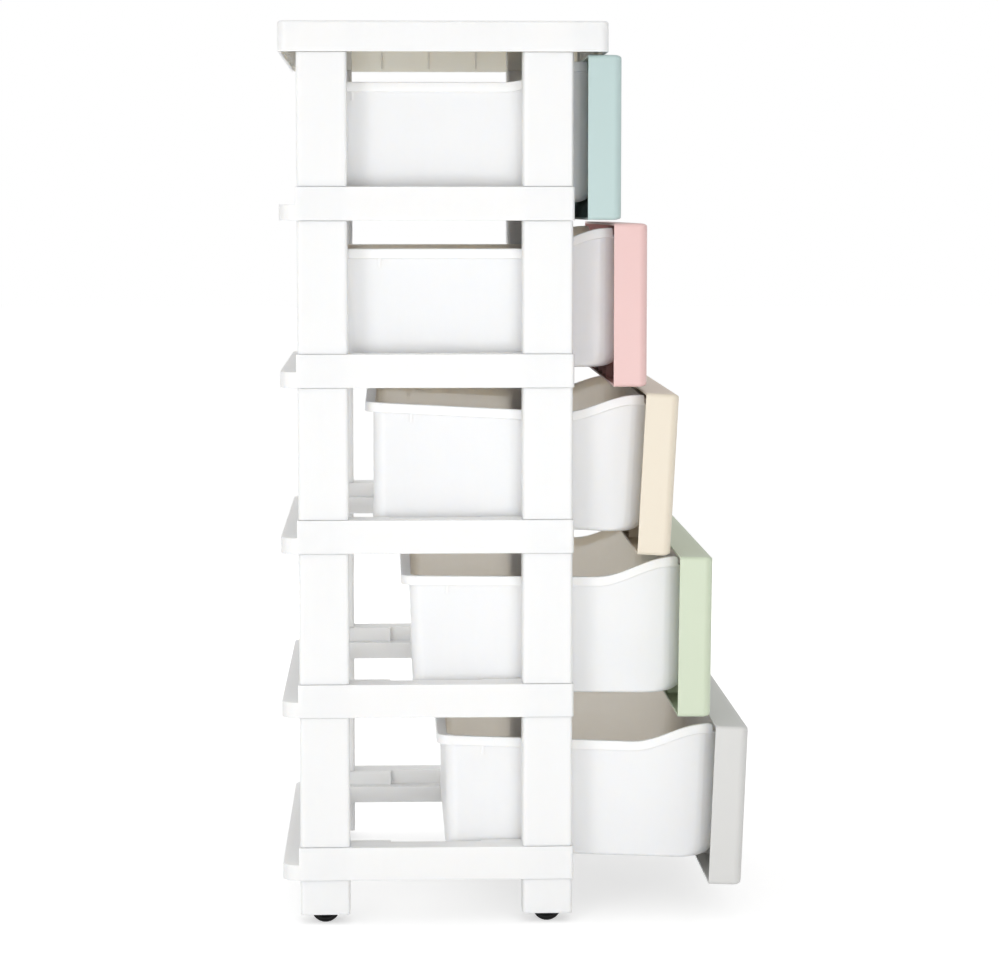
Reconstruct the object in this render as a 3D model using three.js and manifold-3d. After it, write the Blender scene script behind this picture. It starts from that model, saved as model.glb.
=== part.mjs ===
// A tall plastic tower of five drawers on hidden rollers, shown with its drawers pulled out like stairs.
// Millimetres, +Z up. The drawer fronts face -Y and X runs across the width.
// Left and right are seen by someone who stands before the fronts and looks along +Y.

import * as THREE from "three";
import { mergeVertices } from "three/addons/utils/BufferGeometryUtils.js";
import Module from "manifold-3d";

// Driving dimensions of the standing frame.
const TIER_COUNT = 5;
const TIER_PITCH = 176;
const SHELF_WIDTH = 480;
const SHELF_DEPTH = 294;
const SHELF_HEIGHT = 35.5;
const SHELF_CORNER = 4;
const SIDE_WALL_WIDTH = 32;
const LEDGE_REACH = 54;
const LEDGE_HEIGHT = 19;
const FRONT_RAIL_HEIGHT = 15.8;
const REAR_RAIL_HEIGHT = 17;
const REAR_RAIL_WIDTH = 54;
const REAR_OVERHANG = 17.5;
const CORNER_BLOCK_EXTRA = 44;

// Hollow posts, which plug into the shelf frames above and below.
const POST_WIDTH = 39;
const POST_DEPTH = 53;
const POST_INSET = 1.5;
const POST_CORNER = 4;
const POST_SHOULDER = 3.5;
const POST_WALL = 2.2;
const SPIGOT_LENGTH = 10;
const STOP_REACH = 3;
const STOP_WIDTH = 6;
const STOP_LENGTH = 75;

// Top cover, a shallow lid with a skirt and ribs inside.
const COVER_HEIGHT = 32;
const COVER_SIDE_OVERHANG = 2;
const COVER_FRONT_OVERHANG = 35.5;
const COVER_WALL = 3;
const COVER_CORNER = 10;
const COVER_EDGE = 3;
const RIB_PITCH = 56.5;
const RIB_THICKNESS = 2;
const RIB_REACH = 5;
const RIB_SHORTFALL = 3;

// Feet and their rollers.
const FOOT_HEIGHT = 37.5;
const FOOT_CLEARANCE = 10;
const FOOT_WALL = 4;
const FOOT_ROOF = 4;
const WHEEL_RADIUS = 15.5;
const WHEEL_WIDTH = 22;
const WHEEL_EDGE = 1.5;
const HUB_RADIUS = 6;
const AXLE_RADIUS = 2.5;
const AXLE_SEAT = 2.5;

// Drawer tub. Its rear end stays short of the frame's rear edge when the drawer is closed.
const TUB_REAR_GAP = 15;
const TUB_RIM_TOP = 146.2;
const TUB_WALL = 2.2;
const TUB_FLOOR = 2.5;
const TUB_BOTTOM_EDGE = 4;
const TUB_NOSE_ROUND = 22;
const NOSE_STEPS = 4;
const TUB_SIDE_DRAFT = 1.2;
const TUB_REAR_DRAFT = 5;
const TUB_NOSE = 13;
const TUB_FRONT_CORNER = 28;
const TUB_REAR_CORNER = 14;
const RIM_HEIGHT = 10.5;
const RIM_OVERHANG = 3;
const RIM_REAR_FLANGE = 9;
const RIM_RISE = 21.8;
const RIM_RISE_START = 85;
const RIM_RISE_END = 6;
const TAB_FROM_REAR = 51;
const TAB_WIDTH = 3;
const TAB_DROP = 9.5;
const PAD_FROM_REAR = 61;
const PAD_THICKNESS = 0.5;
const RIM_SAMPLES = 5;

// Coloured front panel, a shallow box that is open at the back.
const FRONT_WIDTH = 478;
const FRONT_DEPTH = 35.5;
const FRONT_WALL = 2.5;
const FRONT_SIDE_ROUND = 9;
const FRONT_EDGE_ROUND = 3;
const FRONT_FACE_CORNER = 4;
const FRONT_ABOVE_SHELF_BASE = 0.6;
const FRONT_TOP_GAP = 2.9;
const BOSS_SIZE = 14;
const BOSS_SPREAD_X = 130;
const BOSS_LOW = 45;
const BOSS_HIGH = 120;

// How far joined shapes reach into each other, how far cuts reach past a face, and the least corner radius.
const JOIN_OVERLAP = 1;
const CUT_MARGIN = 1;
const LEAST_CORNER = 1;

// A rounded edge is drawn as two flats that meet at this share of its radius.
const EDGE_BEND = 0.3;

// Running clearances and seats.
const SEAT_GAP = 0.3;
const SIDE_CLEARANCE = 0.4;
const SOCKET_CLEARANCE = 0.3;
const SOCKET_SPARE_DEPTH = 2;
const AXLE_CLEARANCE = 0.08;
const WHEEL_SIDE_CLEARANCE = 0.5;
const STOP_CLEARANCE = 1.2;
const FRONT_CLEARANCE = 0.5;

// How far each drawer stands open, its droop in degrees, and how far its tipping line is ahead of the ledges.
const DRAWERS = [
  { colour: 0xc6ddd9, opening: 13.3, droop: 0, tipAhead: 0 },
  { colour: 0xf0cdca, opening: 41.1, droop: 0, tipAhead: 0 },
  { colour: 0xf0e4cf, opening: 68, droop: 3, tipAhead: 70.5 },
  { colour: 0xd3e4c7, opening: 111.1, droop: 0.6, tipAhead: 0 },
  { colour: 0xd8d6d2, opening: 146.1, droop: 2.3, tipAhead: 0 },
];

const WHITE = 0xf4f4f2;
const BLACK = 0x17171a;
const STEEL = 0xb4b6b8;

// Places that follow from the driving dimensions.
const shelfFrontY = -SHELF_DEPTH / 2;
const shelfRearY = SHELF_DEPTH / 2;
const postOuterX = SHELF_WIDTH / 2 - POST_INSET;
const postInnerX = postOuterX - POST_WIDTH;
const postCentreX = (postOuterX + postInnerX) / 2;
const postCentreY = SHELF_DEPTH / 2 - POST_INSET - POST_DEPTH / 2;
const postInnerY = postCentreY - POST_DEPTH / 2;
const ledgeFrontY = -postInnerY;
const lowestShelfZ = FOOT_CLEARANCE + FOOT_HEIGHT;
const frontBackY = shelfFrontY - FRONT_CLEARANCE;
const tubBottomZ = LEDGE_HEIGHT + SEAT_GAP;
const tubRearY = shelfRearY + REAR_OVERHANG - TUB_REAR_GAP;
const rimHalfWidth = postInnerX - SIDE_CLEARANCE - PAD_THICKNESS;

const wasm = await Module();
wasm.setup();

/** A closed geometry as a solid that can be joined and cut. */
function solid(geometry) {
  const bare = geometry.clone();
  bare.deleteAttribute("normal");
  bare.deleteAttribute("uv");
  const merged = mergeVertices(bare, 1e-4);
  const vertProperties = new Float32Array(merged.attributes.position.array);
  const triVerts = new Uint32Array(merged.index.array);
  return new wasm.Manifold(new wasm.Mesh({ numProp: 3, vertProperties, triVerts }));
}

/** The geometry of a solid. */
function geometryOf(body) {
  const mesh = body.getMesh();
  const geometry = new THREE.BufferGeometry();
  geometry.setAttribute("position", new THREE.BufferAttribute(mesh.vertProperties, 3));
  geometry.setIndex(new THREE.BufferAttribute(mesh.triVerts, 1));
  geometry.computeVertexNormals();
  return geometry;
}

/** A box between two corners. */
function block(x0, x1, y0, y1, z0, z1) {
  const geometry = new THREE.BoxGeometry(x1 - x0, y1 - y0, z1 - z0);
  geometry.translate((x0 + x1) / 2, (y0 + y1) / 2, (z0 + z1) / 2);
  return solid(geometry);
}

/** Points of a rectangle whose corners are arcs. Radii run front right, rear right, rear left, front left. */
function roundedRectangle(x0, x1, y0, y1, radii, steps) {
  const corners = [
    { x: x1, y: y0, turn: -90, sx: -1, sy: 1 },
    { x: x1, y: y1, turn: 0, sx: -1, sy: -1 },
    { x: x0, y: y1, turn: 90, sx: 1, sy: -1 },
    { x: x0, y: y0, turn: 180, sx: 1, sy: 1 },
  ];
  const points = [];
  corners.forEach((corner, index) => {
    const radius = radii[index];
    const count = radius > 0 ? steps : 0;
    for (let step = 0; step <= count; step += 1) {
      const angle = THREE.MathUtils.degToRad(corner.turn + (count ? (90 * step) / count : 0));
      const centreX = corner.x + corner.sx * radius;
      const centreY = corner.y + corner.sy * radius;
      points.push(new THREE.Vector2(centreX + radius * Math.cos(angle), centreY + radius * Math.sin(angle)));
    }
  });
  return points;
}

/** An upright prism over an outline. */
function prism(points, z0, z1) {
  const geometry = new THREE.ExtrudeGeometry(new THREE.Shape(points), { depth: z1 - z0, bevelEnabled: false });
  geometry.translate(0, 0, z0);
  return solid(geometry);
}

/** A closed skin over a row of rings with equal counts of points; both end rings are capped. */
function loft(rings) {
  const count = rings[0].length;
  const positions = rings.flat().flatMap((point) => [point.x, point.y, point.z]);
  const faces = [];
  for (let ring = 0; ring + 1 < rings.length; ring += 1) {
    for (let point = 0; point < count; point += 1) {
      const next = (point + 1) % count;
      const a = ring * count + point;
      const b = ring * count + next;
      faces.push(a, b, b + count, a, b + count, a + count);
    }
  }
  const last = (rings.length - 1) * count;
  for (let point = 1; point + 1 < count; point += 1) {
    faces.push(0, point + 1, point);
    faces.push(last, last + point, last + point + 1);
  }
  const geometry = new THREE.BufferGeometry();
  geometry.setAttribute("position", new THREE.Float32BufferAttribute(positions, 3));
  geometry.setIndex(faces);
  return solid(geometry);
}

/** A level ring of a loft. */
function levelRing(points, z) {
  return points.map((point) => new THREE.Vector3(point.x, point.y, z));
}

/** A round bar along X. Its flats, or else its corners, lie at the radius. */
function barAlongX(radius, length, x, y, z, flatsAtRadius) {
  const sides = 16;
  const reach = flatsAtRadius ? radius / Math.cos(Math.PI / sides) : radius;
  const geometry = new THREE.CylinderGeometry(reach, reach, length, sides);
  geometry.rotateZ(Math.PI / 2);
  geometry.translate(x, y, z);
  return solid(geometry);
}

/** Signs of the four corners, each with the name of its place. */
const CORNERS = [
  { name: "rear_left", side: -1, end: 1 },
  { name: "rear_right", side: 1, end: 1 },
  { name: "front_left", side: -1, end: -1 },
  { name: "front_right", side: 1, end: -1 },
];

/** Outline of a post, or of it drawn in by an inset on every side. */
function postOutline(centreX, centreY, inset, corner) {
  const halfX = POST_WIDTH / 2 - inset;
  const halfY = POST_DEPTH / 2 - inset;
  const radii = [corner, corner, corner, corner];
  return roundedRectangle(centreX - halfX, centreX + halfX, centreY - halfY, centreY + halfY, radii, 1);
}

/** The four sockets that the spigots of posts and feet enter, between two heights. */
function sockets(z0, z1) {
  return CORNERS.map(({ side, end }) => {
    const inset = POST_SHOULDER - SOCKET_CLEARANCE;
    return prism(postOutline(side * postCentreX, end * postCentreY, inset, 0), z0, z1);
  });
}

/** One shelf frame: low front and rear rails, side ledges under the drawer, raised side walls and corner blocks. */
function shelfFrame() {
  const halfWidth = SHELF_WIDTH / 2;
  const rearEdge = shelfRearY + REAR_OVERHANG;
  const plan = (y0, y1, radii, z1) => prism(roundedRectangle(-halfWidth, halfWidth, y0, y1, radii, 3), 0, z1);
  const rearRadii = [0, REAR_OVERHANG, REAR_OVERHANG, 0];
  const frontRadii = [SHELF_CORNER, 0, 0, SHELF_CORNER];
  let body = plan(shelfFrontY, ledgeFrontY + JOIN_OVERLAP, frontRadii, FRONT_RAIL_HEIGHT);
  body = body.add(plan(rearEdge - REAR_RAIL_WIDTH, rearEdge, rearRadii, REAR_RAIL_HEIGHT));
  for (const side of [-1, 1]) {
    const span = (inner) => [Math.min(side * inner, side * halfWidth), Math.max(side * inner, side * halfWidth)];
    const ledge = span(halfWidth - LEDGE_REACH);
    const wall = span(halfWidth - SIDE_WALL_WIDTH);
    const corner = span(postInnerX);
    const ledgeRearY = rearEdge - REAR_RAIL_WIDTH + JOIN_OVERLAP;
    body = body.add(block(...ledge, ledgeFrontY, ledgeRearY, 0, LEDGE_HEIGHT));
    const wallRadii = side > 0 ? [SHELF_CORNER, 0, 0, 0] : [0, 0, 0, SHELF_CORNER];
    const wallPlan = roundedRectangle(...wall, shelfFrontY, shelfRearY, wallRadii, 3);
    body = body.add(prism(wallPlan, 0, SHELF_HEIGHT));
    for (const end of [-1, 1]) {
      const inner = end * (postInnerY - CORNER_BLOCK_EXTRA);
      const outer = end * (SHELF_DEPTH / 2);
      const radius = end < 0 ? SHELF_CORNER : 0;
      const radii = side > 0 ? [radius, 0, 0, 0] : [0, 0, 0, radius];
      const y0 = Math.min(inner, outer);
      const y1 = Math.max(inner, outer);
      body = body.add(prism(roundedRectangle(...corner, y0, y1, radii, 3), 0, SHELF_HEIGHT));
    }
  }
  for (const socket of sockets(-CUT_MARGIN, SHELF_HEIGHT + CUT_MARGIN)) body = body.subtract(socket);
  return geometryOf(body);
}

/** One hollow post with a spigot at each end; a front post also has the rib that stops the drawer. */
function post(side, end) {
  const x = side * postCentreX;
  const y = end * postCentreY;
  const z0 = SEAT_GAP;
  const z1 = TIER_PITCH - SHELF_HEIGHT - SEAT_GAP;
  let body = prism(postOutline(x, y, 0, POST_CORNER), z0, z1);
  body = body.add(prism(postOutline(x, y, POST_SHOULDER, 0), z0 - SPIGOT_LENGTH, z1 + SPIGOT_LENGTH));
  if (end < 0) {
    const stopTop = TUB_RIM_TOP - RIM_HEIGHT - STOP_CLEARANCE - SHELF_HEIGHT;
    const face = side * postInnerX;
    const tip = side * (postInnerX - STOP_REACH);
    const root = face + side * JOIN_OVERLAP;
    const rearY = -postInnerY - POST_CORNER;
    const x0 = Math.min(tip, root);
    const x1 = Math.max(tip, root);
    body = body.add(block(x0, x1, rearY - STOP_WIDTH, rearY, stopTop - STOP_LENGTH, stopTop));
  }
  const bore = prism(postOutline(x, y, POST_SHOULDER + POST_WALL, 0), -2 * SPIGOT_LENGTH, TIER_PITCH);
  return geometryOf(body.subtract(bore));
}

/** The lid: a rounded tray upside down, with corner sockets and short ribs on the skirt. */
function topCover() {
  const halfWidth = SHELF_WIDTH / 2 + COVER_SIDE_OVERHANG;
  const y0 = shelfFrontY - COVER_FRONT_OVERHANG;
  const y1 = shelfRearY + REAR_OVERHANG;
  const outline = (inset) => {
    const radius = Math.max(COVER_CORNER - inset, LEAST_CORNER);
    const radii = [radius, radius, radius, radius];
    return roundedRectangle(-halfWidth + inset, halfWidth - inset, y0 + inset, y1 - inset, radii, 4);
  };
  const roofZ = COVER_HEIGHT - COVER_WALL;
  let body = loft([
    levelRing(outline(COVER_WALL), roofZ),
    levelRing(outline(COVER_WALL), 0),
    levelRing(outline(0), 0),
    levelRing(outline(0), COVER_HEIGHT - COVER_EDGE),
    levelRing(outline(COVER_EDGE * EDGE_BEND), COVER_HEIGHT - COVER_EDGE * EDGE_BEND),
    levelRing(outline(COVER_EDGE), COVER_HEIGHT),
  ]);
  for (const { side, end } of CORNERS) {
    const x = side * postCentreX;
    const y = end * postCentreY;
    body = body.add(prism(postOutline(x, y, 0, 0), 0, roofZ + JOIN_OVERLAP));
  }
  const ribBase = RIB_SHORTFALL;
  const ribTop = roofZ + JOIN_OVERLAP;
  const half = RIB_THICKNESS / 2;
  const root = COVER_WALL / 2;
  const ribsAlongY = Math.floor((postInnerY - half) / RIB_PITCH);
  for (let rib = -ribsAlongY; rib <= ribsAlongY; rib += 1) {
    const y = rib * RIB_PITCH;
    for (const side of [-1, 1]) {
      const tip = side * (halfWidth - COVER_WALL - RIB_REACH);
      const base = side * (halfWidth - root);
      body = body.add(block(Math.min(tip, base), Math.max(tip, base), y - half, y + half, ribBase, ribTop));
    }
  }
  const ribsAlongX = Math.floor((postInnerX - half) / RIB_PITCH);
  for (let rib = -ribsAlongX; rib <= ribsAlongX; rib += 1) {
    const x = rib * RIB_PITCH;
    const tips = [y0 + COVER_WALL + RIB_REACH, y1 - COVER_WALL - RIB_REACH];
    body = body.add(block(x - half, x + half, y0 + root, tips[0], ribBase, ribTop));
    body = body.add(block(x - half, x + half, tips[1], y1 - root, ribBase, ribTop));
  }
  for (const socket of sockets(-CUT_MARGIN, SPIGOT_LENGTH + SOCKET_SPARE_DEPTH)) body = body.subtract(socket);
  return geometryOf(body);
}

/** A foot: a short post that is open below, where its roller turns on a pin. */
function foot(side, end) {
  const x = side * postCentreX;
  const y = end * postCentreY;
  const top = FOOT_HEIGHT - SEAT_GAP;
  let body = prism(postOutline(x, y, 0, POST_CORNER), 0, top);
  body = body.add(prism(postOutline(x, y, POST_SHOULDER, 0), top - JOIN_OVERLAP, top + SPIGOT_LENGTH));
  body = body.subtract(prism(postOutline(x, y, FOOT_WALL, 0), -CUT_MARGIN, top - FOOT_ROOF));
  const pinLength = POST_WIDTH - 2 * FOOT_WALL + 2 * AXLE_SEAT;
  const pinZ = WHEEL_RADIUS - FOOT_CLEARANCE;
  body = body.subtract(barAlongX(AXLE_RADIUS + AXLE_CLEARANCE, pinLength + SEAT_GAP, x, y, pinZ, true));
  return geometryOf(body);
}

/** The pin that a roller turns on, held at both ends in the foot's walls. */
function axle() {
  const length = POST_WIDTH - 2 * FOOT_WALL + 2 * AXLE_SEAT - SEAT_GAP;
  return geometryOf(barAlongX(AXLE_RADIUS, length, 0, 0, 0, false));
}

/** A roller with broken edges and a hub that spans its foot, bored for its pin. */
function wheel() {
  const sides = 20;
  const half = WHEEL_WIDTH / 2;
  const hub = POST_WIDTH / 2 - FOOT_WALL - WHEEL_SIDE_CLEARANCE;
  const profile = [
    [0, -hub],
    [HUB_RADIUS, -hub],
    [HUB_RADIUS, -half],
    [WHEEL_RADIUS - WHEEL_EDGE, -half],
    [WHEEL_RADIUS, -half + WHEEL_EDGE],
    [WHEEL_RADIUS, half - WHEEL_EDGE],
    [WHEEL_RADIUS - WHEEL_EDGE, half],
    [HUB_RADIUS, half],
    [HUB_RADIUS, hub],
    [0, hub],
  ].map(([radius, along]) => new THREE.Vector2(radius, along));
  const disc = new THREE.LatheGeometry(profile, sides);
  disc.rotateZ(Math.PI / 2);
  const bore = barAlongX(AXLE_RADIUS + AXLE_CLEARANCE, 2 * (hub + CUT_MARGIN), 0, 0, 0, true);
  return geometryOf(solid(disc).subtract(bore));
}

/** Height of the rim's top at a place along Y: level behind, rising in a soft S to the front panel. */
function rimTop(y) {
  const start = frontBackY + RIM_RISE_START;
  const end = frontBackY + RIM_RISE_END;
  return TUB_RIM_TOP + RIM_RISE * (1 - THREE.MathUtils.smoothstep(y, end, start));
}

/** Outline of the tub at one level, with extra points along the sides where the rim rises. */
function tubOutline(halfWidth, frontY, rearY, frontCorner, rearCorner) {
  const right = [];
  const arc = (centreX, centreY, radius, from, steps) => {
    for (let step = 0; step <= steps; step += 1) {
      const angle = THREE.MathUtils.degToRad(from + (90 * step) / steps);
      right.push(new THREE.Vector2(centreX + radius * Math.cos(angle), centreY + radius * Math.sin(angle)));
    }
  };
  arc(halfWidth - frontCorner, frontY + frontCorner, frontCorner, -90, 4);
  const first = Math.max(frontBackY - TUB_NOSE + TUB_FRONT_CORNER, frontY + frontCorner) + JOIN_OVERLAP;
  const last = Math.max(frontBackY + RIM_RISE_START, first + RIM_SAMPLES);
  for (let sample = 0; sample <= RIM_SAMPLES; sample += 1) {
    right.push(new THREE.Vector2(halfWidth, THREE.MathUtils.lerp(first, last, sample / RIM_SAMPLES)));
  }
  arc(halfWidth - rearCorner, rearY - rearCorner, rearCorner, 0, 3);
  const left = right.map((point) => new THREE.Vector2(-point.x, point.y)).reverse();
  return [...right, ...left];
}

/** The white tub: drafted walls, a level floor, and a rim band that is broad at the rear. */
function drawerTub() {
  const wallX = rimHalfWidth - RIM_OVERHANG;
  const wallRear = tubRearY - RIM_REAR_FLANGE;
  const noseY = frontBackY - TUB_NOSE;
  const floorX = wallX - TUB_SIDE_DRAFT;
  const floorRear = wallRear - TUB_REAR_DRAFT;
  const edge = TUB_BOTTOM_EDGE;
  const corner = (radius, inset) => Math.max(radius - inset, LEAST_CORNER);
  const outline = (halfWidth, rearY, inset, noseInset) => tubOutline(
    halfWidth - inset, noseY + noseInset, rearY - inset,
    corner(TUB_FRONT_CORNER, inset), corner(TUB_REAR_CORNER, inset),
  );
  // Rings of the rounded bottom: a broad round under the nose, a small one along the other edges.
  const bottomRings = (wall, floorZ) => Array.from({ length: NOSE_STEPS + 1 }, (unused, step) => {
    const angle = THREE.MathUtils.degToRad((90 * step) / NOSE_STEPS);
    const round = TUB_NOSE_ROUND - wall;
    const rise = round * (1 - Math.cos(angle));
    const sideInset = edge * Math.max(1 - rise / edge, 0);
    const noseInset = wall + round * (1 - Math.sin(angle));
    return levelRing(outline(floorX, floorRear, wall + sideInset, noseInset), floorZ + rise);
  });
  const raised = (points, drop) => points.map((point) => new THREE.Vector3(point.x, point.y, rimTop(point.y) - drop));
  const rim = tubOutline(rimHalfWidth, noseY - RIM_OVERHANG, tubRearY,
    TUB_FRONT_CORNER + RIM_OVERHANG, TUB_REAR_CORNER + RIM_OVERHANG);
  let body = loft([
    ...bottomRings(0, tubBottomZ),
    raised(outline(wallX, wallRear, 0, 0), RIM_HEIGHT),
    raised(rim, RIM_HEIGHT),
    raised(rim, 0),
    raised(outline(wallX, wallRear, TUB_WALL, TUB_WALL), 0),
    ...bottomRings(TUB_WALL, tubBottomZ + TUB_FLOOR).reverse(),
  ]);
  const tabFront = tubRearY - TAB_FROM_REAR;
  const rimBase = TUB_RIM_TOP - RIM_HEIGHT;
  for (const side of [-1, 1]) {
    const across = (inner, outer) => [Math.min(side * inner, side * outer), Math.max(side * inner, side * outer)];
    const padRear = tubRearY - TUB_REAR_CORNER - RIM_OVERHANG;
    const pad = across(rimHalfWidth - JOIN_OVERLAP, rimHalfWidth + PAD_THICKNESS);
    body = body.add(block(...pad, tubRearY - PAD_FROM_REAR, padRear, rimBase, TUB_RIM_TOP));
    const tab = across(wallX - TUB_WALL / 2, rimHalfWidth - PAD_THICKNESS);
    body = body.add(block(...tab, tabFront, tabFront + TAB_WIDTH, rimBase - TAB_DROP, rimBase + JOIN_OVERLAP));
  }
  return geometryOf(body);
}

/** The coloured front: a box open at the back, with bosses that reach the tub's front wall. */
function drawerFront() {
  const halfWidth = FRONT_WIDTH / 2;
  const z0 = FRONT_ABOVE_SHELF_BASE;
  const z1 = TIER_PITCH - FRONT_TOP_GAP;
  const frontY = frontBackY - FRONT_DEPTH;
  const ring = (y, insetX, insetZ) => {
    const radius = FRONT_FACE_CORNER;
    const radii = [radius, radius, radius, radius];
    const points = roundedRectangle(-halfWidth + insetX, halfWidth - insetX, z0 + insetZ, z1 - insetZ, radii, 2);
    return points.map((point) => new THREE.Vector3(point.x, y, point.y));
  };
  let body = loft([
    ring(frontY + FRONT_WALL, FRONT_SIDE_ROUND, FRONT_WALL),
    ring(frontY + FRONT_SIDE_ROUND, FRONT_WALL, FRONT_WALL),
    ring(frontBackY, FRONT_WALL, FRONT_WALL),
    ring(frontBackY, 0, 0),
    ring(frontY + FRONT_SIDE_ROUND, 0, 0),
    ring(frontY + FRONT_SIDE_ROUND * EDGE_BEND, FRONT_SIDE_ROUND * EDGE_BEND, FRONT_EDGE_ROUND * EDGE_BEND),
    ring(frontY, FRONT_SIDE_ROUND, FRONT_EDGE_ROUND),
  ]);
  const half = BOSS_SIZE / 2;
  const bossEnd = frontBackY - TUB_NOSE - RIM_OVERHANG - SEAT_GAP;
  const wallEnd = frontBackY - TUB_NOSE - SEAT_GAP;
  for (const x of [-BOSS_SPREAD_X, BOSS_SPREAD_X]) {
    for (const z of [BOSS_LOW, BOSS_HIGH]) {
      const end = z + half < rimTop(frontBackY) - RIM_HEIGHT - JOIN_OVERLAP ? wallEnd : bossEnd;
      body = body.add(block(x - half, x + half, frontY + FRONT_WALL / 2, end, z - half, z + half));
    }
  }
  return geometryOf(body);
}

/** A named mesh with its own plastic or metal. */
function piece(name, geometry, colour, roughness, metalness) {
  const material = new THREE.MeshStandardMaterial({ color: colour, roughness, metalness });
  const mesh = new THREE.Mesh(geometry, material);
  mesh.name = name;
  return mesh;
}

const white = (name, geometry) => piece(name, geometry, WHITE, 0.45, 0);
const tower = new THREE.Group();

// The standing frame, from the top down.
const cover = white("top_cover", topCover());
cover.position.z = lowestShelfZ + TIER_COUNT * TIER_PITCH;
tower.add(cover);
for (let tier = 1; tier <= TIER_COUNT; tier += 1) {
  const shelfZ = lowestShelfZ + (TIER_COUNT - tier) * TIER_PITCH;
  const shelf = white(`shelf_frame_${tier}`, shelfFrame());
  shelf.position.z = shelfZ;
  tower.add(shelf);
  for (const { name, side, end } of CORNERS) {
    const upright = white(`post_${tier}_${name}`, post(side, end));
    upright.position.z = shelfZ + SHELF_HEIGHT;
    tower.add(upright);
  }
}

// Feet with their pins and rollers.
for (const { name, side, end } of CORNERS) {
  const leg = white(`foot_${name}`, foot(side, end));
  leg.position.z = FOOT_CLEARANCE;
  const pin = piece(`axle_${name}`, axle(), STEEL, 0.35, 1);
  const roller = piece(`wheel_${name}`, wheel(), BLACK, 0.6, 0);
  for (const turning of [pin, roller]) {
    turning.position.set(side * postCentreX, end * postCentreY, WHEEL_RADIUS);
  }
  tower.add(leg, pin, roller);
}

// Drawers, each pulled out along -Y and drooping about its tipping line.
DRAWERS.forEach(({ colour, opening, droop, tipAhead }, index) => {
  const tier = index + 1;
  const shelfZ = lowestShelfZ + (TIER_COUNT - tier) * TIER_PITCH;
  const tub = white(`drawer_tub_${tier}`, drawerTub());
  const front = piece(`drawer_front_${tier}`, drawerFront(), colour, 0.5, 0);
  const tipY = ledgeFrontY - tipAhead;
  const drawer = new THREE.Group();
  drawer.add(tub, front);
  drawer.position.set(0, -opening - tipY, -tubBottomZ);
  const tipped = new THREE.Group();
  tipped.add(drawer);
  tipped.position.set(0, tipY, shelfZ + tubBottomZ);
  tipped.rotation.x = THREE.MathUtils.degToRad(droop);
  tower.add(tipped);
});

// The origin is on the floor, under the centre of the box round the whole tower as it stands.
const middle = new THREE.Box3().setFromObject(tower, true).getCenter(new THREE.Vector3());
tower.position.y = -middle.y;
const part = new THREE.Group();
part.add(tower);

export default part;
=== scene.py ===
# %% [markdown]
# This lesson dresses a tall plastic tower of five drawers, the kind that rolls beside a washing machine.
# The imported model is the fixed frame: each piece made here stands where its CAD node stands. Every piece
# is modelled in millimetres, as it would be drawn, and shrunk to metres when it is finished.

# %% Load the frame
import math

import bmesh
import bpy
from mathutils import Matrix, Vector


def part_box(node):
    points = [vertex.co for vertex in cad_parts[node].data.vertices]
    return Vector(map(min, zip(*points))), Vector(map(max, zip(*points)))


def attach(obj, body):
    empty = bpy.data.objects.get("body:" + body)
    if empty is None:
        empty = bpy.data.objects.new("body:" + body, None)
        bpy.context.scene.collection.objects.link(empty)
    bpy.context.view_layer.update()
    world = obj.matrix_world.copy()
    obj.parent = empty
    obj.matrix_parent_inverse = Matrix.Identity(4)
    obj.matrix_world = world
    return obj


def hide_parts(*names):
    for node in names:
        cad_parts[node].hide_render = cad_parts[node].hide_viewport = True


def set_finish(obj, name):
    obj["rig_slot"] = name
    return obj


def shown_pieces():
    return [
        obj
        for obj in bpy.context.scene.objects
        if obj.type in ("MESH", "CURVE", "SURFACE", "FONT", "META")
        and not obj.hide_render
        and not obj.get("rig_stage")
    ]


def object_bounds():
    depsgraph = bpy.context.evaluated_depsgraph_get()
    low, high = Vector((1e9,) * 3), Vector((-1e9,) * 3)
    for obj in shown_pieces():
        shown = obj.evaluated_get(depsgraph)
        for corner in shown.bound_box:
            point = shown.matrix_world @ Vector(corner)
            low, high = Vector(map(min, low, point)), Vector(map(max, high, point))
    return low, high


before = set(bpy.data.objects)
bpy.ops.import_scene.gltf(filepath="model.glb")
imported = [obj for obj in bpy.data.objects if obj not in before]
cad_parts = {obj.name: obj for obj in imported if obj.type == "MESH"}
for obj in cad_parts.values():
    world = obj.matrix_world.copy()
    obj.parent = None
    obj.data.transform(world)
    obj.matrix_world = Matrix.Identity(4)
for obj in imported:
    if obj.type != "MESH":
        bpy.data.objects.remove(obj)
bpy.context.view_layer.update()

# %% [markdown]
# The tower is five equal tiers, so a few sizes place every piece. They are the sizes of the real
# mouldings, in millimetres, with the origin under the middle of a shelf frame and the drawer fronts
# facing -Y. The frame's own origin lies further back, under the open drawers, so one shift along Y is
# read from a node.

# %% Sizes that place the pieces
MM = 0.001
TIER_COUNT = 5
TIER_PITCH = 176
LOWEST_SHELF = 47.5
SHELF_WIDTH = 480
SHELF_DEPTH = 294
SHELF_HEIGHT = 35.5
REAR_OVERHANG = 17.5
POST_X = 219
POST_Y = 119
POST_WIDTH = 39
POST_DEPTH = 53
SIDES = {"left": -1, "right": 1}
ENDS = {"rear": 1, "front": -1}

shift_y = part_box("shelf_frame_1")[0].y / MM + SHELF_DEPTH / 2
shelf_heights = [LOWEST_SHELF + TIER_PITCH * (TIER_COUNT - tier) for tier in range(1, TIER_COUNT + 1)]
print("shelf frames stand at", shelf_heights, "mm; the frame lies", round(shift_y, 2), "mm further along Y")

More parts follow.
